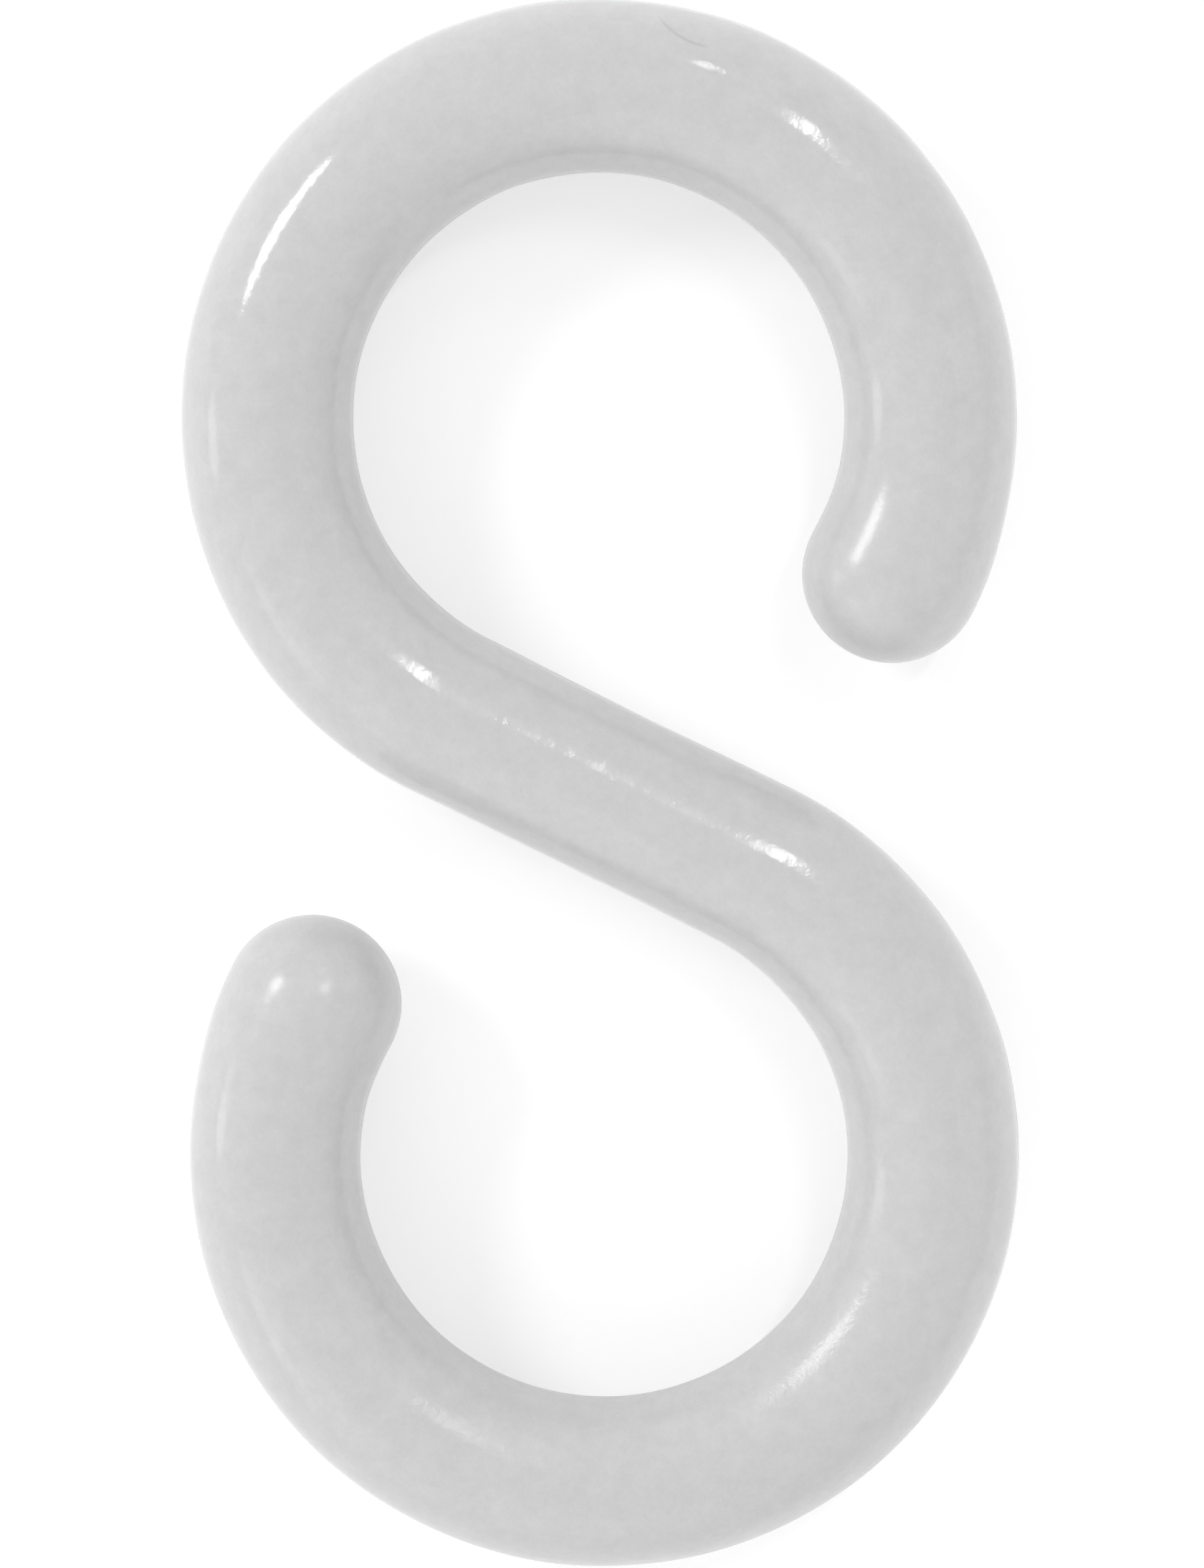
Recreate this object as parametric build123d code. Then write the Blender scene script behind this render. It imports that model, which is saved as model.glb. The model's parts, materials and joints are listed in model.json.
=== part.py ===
"""Chain hook: an S of round plastic rod, moulded in one piece, with an open eye at each end.

Sizes are in millimetres. The hook lies flat on its side as it comes to rest on a table: the outline is in
the XY plane, +Y runs from the lower eye to the upper one, and +Z is up through the thickness. The origin
is under the middle of the straight shank, on the table.
"""

from build123d import *
from math import acos, atan2, degrees
import os

# Driving dimensions. The rod is as thick as the wire of the chain that the hook is sold for.
rod_diameter = 8.0
# The clear bore of each eye, where the chain's link or the wall eye hangs.
eye_bore = 23.0
# The straight stretch between the two bends.
shank_length = 15.5
# The clear way between each tip and the shank, which a link is pushed through.
mouth_gap = 6.9
# Each tip ends in a ball a little thicker than the rod, and the rod swells to it over this length.
tip_swell = 0.3
swell_length = 5.0

# What follows from them.
rod_radius = rod_diameter / 2
tip_radius = rod_radius + tip_swell / 2
bend_radius = eye_bore / 2 + rod_radius
half_shank = shank_length / 2
# The bend stops where the ball on its end clears the shank by the mouth's gap.
tip_height = mouth_gap + rod_radius + tip_radius
wrap_angle = 360 - degrees(acos(1 - tip_height / bend_radius))
swell_angle = degrees(swell_length / bend_radius)
# The shank lies along X while the hook is drawn. This turn then puts one eye right above the other.
lean_angle = degrees(atan2(half_shank, bend_radius))
eye_centre = (-half_shank, bend_radius)


def bend(from_angle, to_angle):
    """A stretch of the upper bend's centreline. Angles run from its joint with the shank round to its tip."""
    return CenterArc(eye_centre, bend_radius, -90 - from_angle, from_angle - to_angle)


def plane_across(line, at):
    """The plane square to a centreline at a share of its length. Its X points to the inside of the bend."""
    along = line % at
    return Plane(origin=line @ at, x_dir=(along.Y, -along.X, 0), z_dir=along)


def make_shank():
    """The straight middle of the rod."""
    line = Line((-half_shank, 0), (half_shank, 0))
    return sweep(plane_across(line, 0) * Circle(rod_radius), path=line)


def make_bend():
    """The upper bend: the same round rod carried round its eye, as far as the swell of its tip."""
    arc = bend(0, wrap_angle - swell_angle)
    return sweep(plane_across(arc, 0) * Circle(rod_radius), path=arc)


def make_tip():
    """The upper tip: the rod swelling along the end of its bend, and the ball that closes it."""
    arc = bend(wrap_angle - swell_angle, wrap_angle)
    sections = [plane_across(arc, 0) * Circle(rod_radius), plane_across(arc, 1) * Circle(tip_radius)]
    swell = sweep(sections, path=arc, multisection=True)
    half_disc = Circle(tip_radius) & Pos(tip_radius, 0) * Rectangle(2 * tip_radius, 2 * tip_radius)
    ball = revolve(plane_across(arc, 1) * half_disc, axis=Axis(arc @ 1, (0, 0, 1)), revolution_arc=180)
    return swell + ball


def make_chain_hook():
    """The whole hook: it looks the same turned half round, so one half is made and used twice."""
    half = make_bend() + make_tip()
    drawn = make_shank() + half + Rot(0, 0, 180) * half
    return Pos(0, 0, tip_radius) * Rot(0, 0, -lean_angle) * drawn


os.makedirs("parts", exist_ok=True)
chain_hook = make_chain_hook()
export_step(chain_hook, "parts/chain_hook.step")
print("wrap", round(wrap_angle, 2), "lean", round(lean_angle, 2), "size", chain_hook.bounding_box().size)
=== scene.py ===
"""Chain hook: an S of round plastic rod lying flat on a pale table under soft studio light.

Lengths are in metres. The outline is in the XY plane, +Y runs from the lower eye to the upper one, and +Z
is up through the thickness. The origin is on the table, under the middle of the straight shank.
"""

import json
import math

import bpy
import numpy as np
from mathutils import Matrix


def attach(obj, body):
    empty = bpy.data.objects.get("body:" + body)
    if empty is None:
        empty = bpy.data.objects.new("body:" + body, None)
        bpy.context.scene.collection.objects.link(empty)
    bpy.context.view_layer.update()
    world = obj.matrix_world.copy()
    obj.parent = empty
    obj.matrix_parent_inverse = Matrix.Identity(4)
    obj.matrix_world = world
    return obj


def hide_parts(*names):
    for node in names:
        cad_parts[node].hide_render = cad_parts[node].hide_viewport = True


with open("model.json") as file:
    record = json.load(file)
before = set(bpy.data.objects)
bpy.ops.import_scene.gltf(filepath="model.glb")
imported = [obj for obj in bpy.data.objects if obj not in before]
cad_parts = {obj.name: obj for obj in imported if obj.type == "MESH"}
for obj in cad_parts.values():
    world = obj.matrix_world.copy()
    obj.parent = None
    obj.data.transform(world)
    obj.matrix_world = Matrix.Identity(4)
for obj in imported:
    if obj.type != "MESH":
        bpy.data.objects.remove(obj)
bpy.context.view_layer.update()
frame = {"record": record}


MM = 0.001
MOUTH_GAP = 6.9 * MM
SWELL_LENGTH = 5.0 * MM
SINK_DEPTH = 0.09 * MM
SINK_REACH = 14.0 * MM

eyes = {mount["name"]: mount for mount in frame["record"]["mounts"]}
upper_eye = eyes["upper_eye"]
ROD_RADIUS = upper_eye["dims"]["length_mm"] * MM / 2
BEND_RADIUS = upper_eye["dims"]["r_mm"] * MM + ROD_RADIUS
EYE_REACH = upper_eye["pos_m"][1]
TIP_RADIUS = upper_eye["pos_m"][2]
HALF_SHANK = math.sqrt(EYE_REACH**2 - BEND_RADIUS**2)
LEAN = math.atan2(HALF_SHANK, BEND_RADIUS)
# The bend stops where the ball on its end clears the shank by the mouth's gap.
WRAP = 2 * math.pi - math.acos(1 - (MOUTH_GAP + ROD_RADIUS + TIP_RADIUS) / BEND_RADIUS)
HALF_LENGTH = HALF_SHANK + BEND_RADIUS * WRAP


def rod_middle(along):
    """The rod's middle line and its direction, at distances along it from the middle of the shank.

    Up to half a shank it is a straight line. After that it is a circle of the bend's radius round the eye's
    centre, at the angle that the arc length divided by the radius gives. The other half is the same turned
    half a turn, and the whole is turned by the lean, which puts one eye above the other.
    """
    side = np.where(along < 0, -1.0, 1.0)
    reach = np.abs(along)
    turned = np.maximum(reach - HALF_SHANK, 0) / BEND_RADIUS
    x = -np.minimum(reach, HALF_SHANK) - BEND_RADIUS * np.sin(turned)
    y = BEND_RADIUS * (1 - np.cos(turned))
    step_x = -np.cos(turned)
    step_y = np.sin(turned)
    cos_lean, sin_lean = math.cos(LEAN), math.sin(LEAN)
    middle = np.stack([x * cos_lean + y * sin_lean, y * cos_lean - x * sin_lean], axis=1)
    ahead = np.stack([step_x * cos_lean + step_y * sin_lean, step_y * cos_lean - step_x * sin_lean], axis=1)
    return middle * side[:, None], ahead


def rod_size(along):
    """The rod's radius: even, then widening along the last millimetres of each bend to the ball's radius.

    The widening is a half wave of a cosine, so it starts and ends without a crease. The shank is also drawn
    in by a whole wave of a cosine, deepest at its middle. That was chosen for the shine it gives along the
    shank and not measured on the outline.
    """
    part = np.clip((np.abs(along) - HALF_LENGTH) / SWELL_LENGTH + 1, 0, 1)
    widening = (TIP_RADIUS - ROD_RADIUS) * (1 - np.cos(math.pi * part)) / 2
    sinking = SINK_DEPTH * (1 + np.cos(math.pi * np.clip(along / SINK_REACH, -1, 1))) / 2
    return ROD_RADIUS + widening - sinking


def skin_waves(points, longest, shortest, height, count, seed):
    """A faint unevenness in metres: a sum of sine waves of the place in space.

    Each wave has a direction drawn evenly over the sphere, a length between the shortest and the longest,
    and a height in proportion to its length. The sum is scaled to the standard height that is given.
    """
    draw = np.random.default_rng(seed)
    direction = draw.normal(size=(count, 3))
    direction /= np.linalg.norm(direction, axis=1, keepdims=True)
    length = shortest * (longest / shortest) ** draw.random(count)
    phase = draw.random(count) * 2 * math.pi
    share = length / math.sqrt((length**2).sum() / 2)
    return height * (np.sin(points @ (direction / length[:, None] * 2 * math.pi).T + phase) @ share)


# The nick lies on an arc of a circle, seen from above, on the outer side of the upper bend.
NICK_CENTRE = np.array([5.74, 37.82]) * MM
NICK_RADIUS = 3.39 * MM
NICK_FROM, NICK_TO = math.radians(-147), math.radians(-96)
NICK_BEARING = (NICK_FROM + NICK_TO) / 2
NICK_MIDDLE = NICK_CENTRE + NICK_RADIUS * np.array([math.cos(NICK_BEARING), math.sin(NICK_BEARING)])
NICK_HALF_CHORD = NICK_RADIUS * math.sin((NICK_TO - NICK_FROM) / 2)
NICK_HALF_WIDTH = 0.085 * MM
NICK_DEPTH = 0.03 * MM
NICK_FADE = 0.08
NICK_TURN = math.radians(206.0)
NICK_ALONG = HALF_SHANK + BEND_RADIUS * NICK_TURN
NICK_REACH = 1.6 * MM

# The stations along the rod are closer together at the nick, and bunch towards the pole of each ball tip.
STATION_SPACING = 0.42 * MM
FINE_SPACING = 0.06 * MM
AROUND = 168
CAP_RINGS = 22

coarse = np.linspace(-HALF_LENGTH, HALF_LENGTH, round(2 * HALF_LENGTH / STATION_SPACING) + 1)
fine = np.arange(NICK_ALONG - NICK_REACH, NICK_ALONG + NICK_REACH, FINE_SPACING)
coarse = coarse[np.abs(coarse - NICK_ALONG) > NICK_REACH + FINE_SPACING]
along = np.sort(np.concatenate([coarse, fine]))
middle, ahead = rod_middle(along)
size = rod_size(along)

# Each ball tip is half a circle of rings from the end of the rod to the pole.
cap = np.linspace(0, math.pi / 2, CAP_RINGS + 1)[1:-1]
first, last = middle[0], middle[-1]
start_caps = first - ahead[0] * (TIP_RADIUS * np.sin(cap))[::-1, None]
end_caps = last + ahead[-1] * (TIP_RADIUS * np.sin(cap))[:, None]
middle = np.concatenate([start_caps, middle, end_caps])
ahead = np.concatenate([np.repeat(ahead[:1], len(cap), 0), ahead, np.repeat(ahead[-1:], len(cap), 0)])
size = np.concatenate([TIP_RADIUS * np.cos(cap)[::-1], size, TIP_RADIUS * np.cos(cap)])

# The lines round the rod bunch towards the parting line, where the mould's halves met.
BUNCHING = 0.72
turn = np.arange(AROUND) / AROUND * 2 * math.pi
turn = turn - BUNCHING / 2 * np.sin(2 * turn)

across = np.stack([-ahead[:, 1], ahead[:, 0], np.zeros(len(ahead))], axis=1)
up = np.array([0, 0, 1.0])
outward = np.cos(turn)[None, :, None] * across[:, None, :] + np.sin(turn)[None, :, None] * up
spine = np.concatenate([middle, np.full((len(middle), 1), TIP_RADIUS)], axis=1)
skin = spine[:, None, :] + size[:, None, None] * outward

poles = np.array([
    [*(first - ahead[0] * TIP_RADIUS), TIP_RADIUS],
    [*(last + ahead[-1] * TIP_RADIUS), TIP_RADIUS],
])
grid = skin.reshape(-1, 3)
rings = len(skin)

# The skin's own unevenness is about a hundredth of a millimetre. The seed was picked by trying many, for
# the highlights it draws, so the pattern is not the real skin's.
WAVE_HEIGHT = 0.01 * MM
LONGEST_WAVE, SHORTEST_WAVE = 12 * MM, 3.5 * MM
WAVE_COUNT, WAVE_SEED = 90, 117
wave = skin_waves(grid, LONGEST_WAVE, SHORTEST_WAVE, WAVE_HEIGHT, WAVE_COUNT, WAVE_SEED)

# The parting line stands out by a few hundredths of a millimetre, more in some places than in others.
LINE_HALF_WIDTH = 0.12 * MM
LINE_HEIGHT = 0.028 * MM
LINE_CHANGE = 0.25
LONGEST_CHANGE, SHORTEST_CHANGE = 9 * MM, 2 * MM
CHANGE_COUNT, CHANGE_SEED = 30, 5
height = grid[:, 2] - TIP_RADIUS
line = LINE_HEIGHT * np.exp(-((height / LINE_HALF_WIDTH) ** 2))
change = skin_waves(grid, LONGEST_CHANGE, SHORTEST_CHANGE, LINE_CHANGE, CHANGE_COUNT, CHANGE_SEED)
line = line * (1 + change)

# The nick is a short bent scratch on top of the upper bend, drawn as a groove along an arc of a circle.
offset = grid[:, :2] - NICK_CENTRE
bearing = np.arctan2(offset[:, 1], offset[:, 0])
distance = np.linalg.norm(offset, axis=1) - NICK_RADIUS
ends = np.clip((bearing - NICK_FROM) / NICK_FADE, 0, 1) * np.clip((NICK_TO - bearing) / NICK_FADE, 0, 1)
nick = np.exp(-((distance / NICK_HALF_WIDTH) ** 2)) * ends * (grid[:, 2] > TIP_RADIUS)

grid = grid + outward.reshape(-1, 3) * (wave + line - NICK_DEPTH * nick)[:, None]

# The grid's faces, closed round the rod, and a fan of triangles from each pole.
ring, step = np.meshgrid(np.arange(rings - 1), np.arange(AROUND), indexing="ij")
after = (step + 1) % AROUND
quads = np.stack([ring * AROUND + step, ring * AROUND + after,
                  (ring + 1) * AROUND + after, (ring + 1) * AROUND + step], axis=-1).reshape(-1, 4)
spokes = np.arange(AROUND)
start_pole, end_pole = len(grid), len(grid) + 1
last_ring = (rings - 1) * AROUND
start_fan = np.stack([(spokes + 1) % AROUND, spokes, np.full(AROUND, start_pole)], axis=1)
end_fan = np.stack([last_ring + spokes, last_ring + (spokes + 1) % AROUND,
                    np.full(AROUND, end_pole)], axis=1)
corners = np.concatenate([quads.ravel(), start_fan.ravel(), end_fan.ravel()])
counts = np.concatenate([np.full(len(quads), 4), np.full(2 * AROUND, 3)])


def closed_mesh(name, points, corners, counts):
    """A mesh from points and from each face's corners laid end to end, with a count of corners a face."""
    mesh = bpy.data.meshes.new(name)
    mesh.vertices.add(len(points))
    mesh.vertices.foreach_set("co", np.asarray(points, np.float32).ravel())
    mesh.loops.add(len(corners))
    mesh.loops.foreach_set("vertex_index", corners.astype(np.int32))
    mesh.polygons.add(len(counts))
    starts = np.concatenate([[0], np.cumsum(counts)[:-1]])
    mesh.polygons.foreach_set("loop_start", starts.astype(np.int32))
    mesh.update(calc_edges=True)
    mesh.validate()
    mesh.polygons.foreach_set("use_smooth", np.ones(len(counts), bool))
    return mesh


hook_mesh = closed_mesh("chain_hook", np.concatenate([grid, poles]), corners, counts)
hook = bpy.data.objects.new("chain_hook_skin", hook_mesh)
bpy.context.scene.collection.objects.link(hook)


def colour(text):
    """The linear value of an sRGB colour written as six hex digits."""
    parts = [int(text[k:k + 2], 16) / 255 for k in (1, 3, 5)]
    return [p / 12.92 if p <= 0.04045 else ((p + 0.055) / 1.055) ** 2.4 for p in parts] + [1]


def add(tree, kind, settings=None, values=None, links=None):
    """Adds one node: its settings by name, its input values by name or number, and what feeds its inputs."""
    node = tree.nodes.new(kind)
    for key, value in (settings or {}).items():
        setattr(node, key, value)
    for key, value in (values or {}).items():
        node.inputs[key].default_value = value
    for key, source in (links or {}).items():
        tree.links.new(source, node.inputs[key])
    return node


# Moulded polyethylene, polished by the mould: a pale grey with a crisp gloss, duller round the bottom of
# the lower bend and on the two ball tips. Its skin has a fine orange peel, about two thirds of a millimetre
# from crest to crest, which breaks up the edges of what it reflects, and the grey is slightly clouded.
PEEL = 0.65 * MM
PEEL_HEIGHT = 0.012 * MM
CLOUD = 1.2 * MM
GLOSSY, DULL = 0.115, 0.265
DULL_CENTRE = (3 * MM, -31 * MM, 4 * MM)
DULL_REACH, DULL_START = 9 * MM, 21 * MM
DULL_PEEL = 3.0
TIP_DULL = 0.245
TIP_REACH, TIP_START = 3 * MM, 8 * MM
# The painted shade in the nick is wider than its groove, and fades from part way along each half to just
# past it.
SHADE_HALF_WIDTH = 1.4 * NICK_HALF_WIDTH
SHADE_FULL, SHADE_GONE = 0.6 * NICK_HALF_CHORD, 1.05 * NICK_HALF_CHORD
plastic = bpy.data.materials.new("moulded_polyethylene")
plastic.use_nodes = True
tree = plastic.node_tree
tree.nodes.clear()
place = add(tree, "ShaderNodeTexCoord").outputs["Object"]
away = add(tree, "ShaderNodeVectorMath", {"operation": "DISTANCE"}, {1: DULL_CENTRE}, {0: place})
rough = add(tree, "ShaderNodeMapRange", {"interpolation_type": "SMOOTHSTEP"},
            {"From Min": DULL_REACH, "From Max": DULL_START, "To Min": DULL, "To Max": GLOSSY},
            {"Value": away.outputs["Value"]})
# How far the place is from the nearer ball tip's centre decides how dull the tip is.
from_first = add(tree, "ShaderNodeVectorMath", {"operation": "DISTANCE"}, {1: (*first, TIP_RADIUS)},
                 {0: place})
from_last = add(tree, "ShaderNodeVectorMath", {"operation": "DISTANCE"}, {1: (*last, TIP_RADIUS)},
                {0: place})
from_tip = add(tree, "ShaderNodeMath", {"operation": "MINIMUM"},
               links={0: from_first.outputs["Value"], 1: from_last.outputs["Value"]})
tip_rough = add(tree, "ShaderNodeMapRange", {"interpolation_type": "SMOOTHSTEP"},
                {"From Min": TIP_REACH, "From Max": TIP_START, "To Min": TIP_DULL, "To Max": GLOSSY},
                {"Value": from_tip.outputs[0]})
rough = add(tree, "ShaderNodeMath", {"operation": "MAXIMUM"},
            links={0: rough.outputs["Result"], 1: tip_rough.outputs["Result"]})
peel = add(tree, "ShaderNodeTexNoise", values={"Scale": 1 / PEEL, "Detail": 3.0, "Roughness": 0.6},
           links={"Vector": place})
rougher = add(tree, "ShaderNodeMapRange", {"interpolation_type": "SMOOTHSTEP"},
              {"From Min": DULL_REACH, "From Max": DULL_START, "To Min": DULL_PEEL, "To Max": 1},
              {"Value": away.outputs["Value"]})
peeled = add(tree, "ShaderNodeMath", {"operation": "MULTIPLY"},
             links={0: peel.outputs["Fac"], 1: rougher.outputs["Result"]})
bump = add(tree, "ShaderNodeBump", values={"Strength": 1.0, "Distance": PEEL_HEIGHT},
           links={"Height": peeled.outputs[0]})
cloud = add(tree, "ShaderNodeTexNoise", values={"Scale": 1 / CLOUD, "Detail": 5.0, "Roughness": 0.9},
            links={"Vector": place})
clouded = add(tree, "ShaderNodeMix", {"data_type": "RGBA"}, links={"Factor": cloud.outputs["Fac"]})
clouded.inputs["A"].default_value = colour("#B9B9B9")
clouded.inputs["B"].default_value = colour("#D3D3D3")
# The nick is painted darker as shade along its arc, only on the top of the rod.
flat = add(tree, "ShaderNodeVectorMath", {"operation": "MULTIPLY"}, {1: (1, 1, 0)}, {0: place})
from_centre = add(tree, "ShaderNodeVectorMath", {"operation": "DISTANCE"}, {1: (*NICK_CENTRE, 0)},
                  {0: flat.outputs["Vector"]})
off_arc = add(tree, "ShaderNodeMath", {"operation": "SUBTRACT"}, {1: NICK_RADIUS},
              {0: from_centre.outputs["Value"]})
off_arc = add(tree, "ShaderNodeMath", {"operation": "ABSOLUTE"}, links={0: off_arc.outputs[0]})
on_arc = add(tree, "ShaderNodeMapRange", {"interpolation_type": "SMOOTHSTEP"},
             {"From Min": 0, "From Max": SHADE_HALF_WIDTH, "To Min": 1, "To Max": 0},
             {"Value": off_arc.outputs[0]})
from_middle = add(tree, "ShaderNodeVectorMath", {"operation": "DISTANCE"}, {1: (*NICK_MIDDLE, 0)},
                  {0: flat.outputs["Vector"]})
in_reach = add(tree, "ShaderNodeMapRange", {"interpolation_type": "SMOOTHSTEP"},
               {"From Min": SHADE_FULL, "From Max": SHADE_GONE, "To Min": 1, "To Max": 0},
               {"Value": from_middle.outputs["Value"]})
nick_shade_mask = add(tree, "ShaderNodeMath", {"operation": "MULTIPLY"},
                links={0: on_arc.outputs["Result"], 1: in_reach.outputs["Result"]})
height = add(tree, "ShaderNodeSeparateXYZ", links={0: place})
on_top = add(tree, "ShaderNodeMath", {"operation": "GREATER_THAN"}, {1: TIP_RADIUS},
             {0: height.outputs["Z"]})
nick_shade_mask = add(tree, "ShaderNodeMath", {"operation": "MULTIPLY"},
                links={0: nick_shade_mask.outputs[0], 1: on_top.outputs[0]})
# Painted shade: the grey is darkened to #B9B9B9 along the nick.
nick_shade_colour = add(tree, "ShaderNodeMix", {"data_type": "RGBA"}, links={"Factor": nick_shade_mask.outputs[0]})
nick_shade_colour.inputs["B"].default_value = colour("#B9B9B9")
tree.links.new(clouded.outputs["Result"], nick_shade_colour.inputs["A"])
shader = add(tree, "ShaderNodeBsdfPrincipled", values={"IOR": 1.51, "Metallic": 0.0},
             links={"Base Color": nick_shade_colour.outputs["Result"], "Normal": bump.outputs["Normal"],
                    "Roughness": rough.outputs[0]})
add(tree, "ShaderNodeOutputMaterial", links={"Surface": shader.outputs["BSDF"]})
hook_mesh.materials.append(plastic)

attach(hook, "root")
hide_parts("chain_hook")


# The table
# A wide sheet of matt white board under the hook. It is not part of the hook.
TABLE_HALF = 3.0
table_mesh = bpy.data.meshes.new("table")
table_mesh.from_pydata(
    [(-TABLE_HALF, -TABLE_HALF, 0), (TABLE_HALF, -TABLE_HALF, 0),
     (TABLE_HALF, TABLE_HALF, 0), (-TABLE_HALF, TABLE_HALF, 0)], [], [(0, 1, 2, 3)])
table = bpy.data.objects.new("table", table_mesh)
bpy.context.scene.collection.objects.link(table)


def seen_directly(tree):
    """1 where the ray comes straight from the camera, or by a mirror or through glass, and 0 elsewhere."""
    path = add(tree, "ShaderNodeLightPath")
    both = add(tree, "ShaderNodeMath", {"operation": "MAXIMUM"},
               links={0: path.outputs["Is Camera Ray"], 1: path.outputs["Is Glossy Ray"]})
    return add(tree, "ShaderNodeMath", {"operation": "MAXIMUM"},
               links={0: both.outputs[0], 1: path.outputs["Is Transmission Ray"]}).outputs[0]


# Matt white board. The glow that only the camera sees lifts it to white and leaves the hook's shadow.
BOARD_GLOW = 0.42
board = bpy.data.materials.new("matt_white_board")
board.use_nodes = True
tree = board.node_tree
tree.nodes.clear()
matt = add(tree, "ShaderNodeBsdfDiffuse", values={"Color": colour("#E4E4E4")})
lift = add(tree, "ShaderNodeMath", {"operation": "MULTIPLY"}, values={1: BOARD_GLOW},
           links={0: seen_directly(tree)})
glow = add(tree, "ShaderNodeEmission", links={"Strength": lift.outputs[0]})
both = add(tree, "ShaderNodeAddShader", links={0: matt.outputs[0], 1: glow.outputs[0]})
add(tree, "ShaderNodeOutputMaterial", links={"Surface": both.outputs[0]})
table_mesh.materials.append(board)


# The camera
# It looks almost straight down from 0.3 m, and the hook fills the picture's height.
from mathutils import Euler, Vector

CAMERA_DISTANCE = 299.9 * MM
AIM = Vector((0.0348 * MM, 0.2457 * MM, 4.15 * MM))
TILT = Euler((math.radians(-4.34), math.radians(0.634), math.radians(-0.421)), "XYZ")
# The focal length as a share of the picture's height, which is its long side.
FOCAL_SHARE = 8919 / 2188
SENSOR = 36

camera_data = bpy.data.cameras.new("camera")
camera_data.sensor_fit = "AUTO"
camera_data.sensor_width = SENSOR
camera_data.lens = SENSOR * FOCAL_SHARE
camera_data.clip_start = 0.01
camera = bpy.data.objects.new("camera", camera_data)
bpy.context.scene.collection.objects.link(camera)
camera.rotation_euler = TILT
camera.location = AIM + TILT.to_matrix() @ Vector((0, 0, CAMERA_DISTANCE))
bpy.context.scene.camera = camera


# The light
# A pale surround and seven soft lamps, all guessed: the key at the upper left and two narrow ones at the
# upper right draw the highlights, and the rest fill in the sides. A lamp is set out by its bearing, counted
# from +X towards +Y, and by its tilt away from straight up, and sized by the degrees it spans.
LAMP_DISTANCE = 1.0


def lamp(name, bearing, tilt, wide, high, radiance):
    """An oval lamp that faces the hook, sized by the angles that it spans, of an even brightness."""
    bearing, tilt = math.radians(bearing), math.radians(tilt)
    data = bpy.data.lights.new(name, "AREA")
    data.shape = "ELLIPSE"
    data.size = 2 * LAMP_DISTANCE * math.tan(math.radians(wide) / 2)
    data.size_y = 2 * LAMP_DISTANCE * math.tan(math.radians(high) / 2)
    # A lamp's power is its radiance times the oval's area times pi.
    data.energy = radiance * data.size * data.size_y * math.pi / 4 * math.pi
    item = bpy.data.objects.new(name, data)
    bpy.context.scene.collection.objects.link(item)
    away = Vector((math.sin(tilt) * math.cos(bearing), math.sin(tilt) * math.sin(bearing), math.cos(tilt)))
    item.location = Vector((0, 0, TIP_RADIUS)) + away * LAMP_DISTANCE
    item.rotation_euler = away.to_track_quat("Z", "Y").to_euler()


lamp("key", 149, 54.5, 20.5, 13, 11.8)
lamp("strip", 53.5, 33, 1.6, 18, 34)
lamp("small", 73, 49, 1.4, 7, 22)
lamp("left_low", 182, 77, 12, 15, 1.8)
lamp("left_far", 212, 65, 20, 14, 0.6)
lamp("fill", 245, 58, 70, 50, 0.4)
lamp("right", 350, 55, 60, 40, 0.3)

# The surround is brighter towards the horizon, as a white tent round the table is, by the square of the
# sine of the angle from straight up. In reflections it is plain white.
ZENITH, HORIZON = 0.15, 1.35
world = bpy.data.worlds.new("surround")
bpy.context.scene.world = world
world.use_nodes = True
tree = world.node_tree
tree.nodes.clear()
direction = add(tree, "ShaderNodeTexCoord").outputs["Generated"]
rise = add(tree, "ShaderNodeSeparateXYZ", links={"Vector": direction}).outputs["Z"]
square = add(tree, "ShaderNodeMath", {"operation": "MULTIPLY"}, links={0: rise, 1: rise})
level = add(tree, "ShaderNodeMapRange", values={"To Min": HORIZON, "To Max": ZENITH},
            links={"Value": square.outputs[0]})
shown = add(tree, "ShaderNodeMix", values={"B": 1.0},
            links={"Factor": seen_directly(tree), "A": level.outputs["Result"]})
sky = add(tree, "ShaderNodeBackground", values={"Color": (1, 1, 1, 1)},
          links={"Strength": shown.outputs["Result"]})
add(tree, "ShaderNodeOutputWorld", links={"Surface": sky.outputs[0]})
bpy.context.scene.view_settings.view_transform = "Standard"
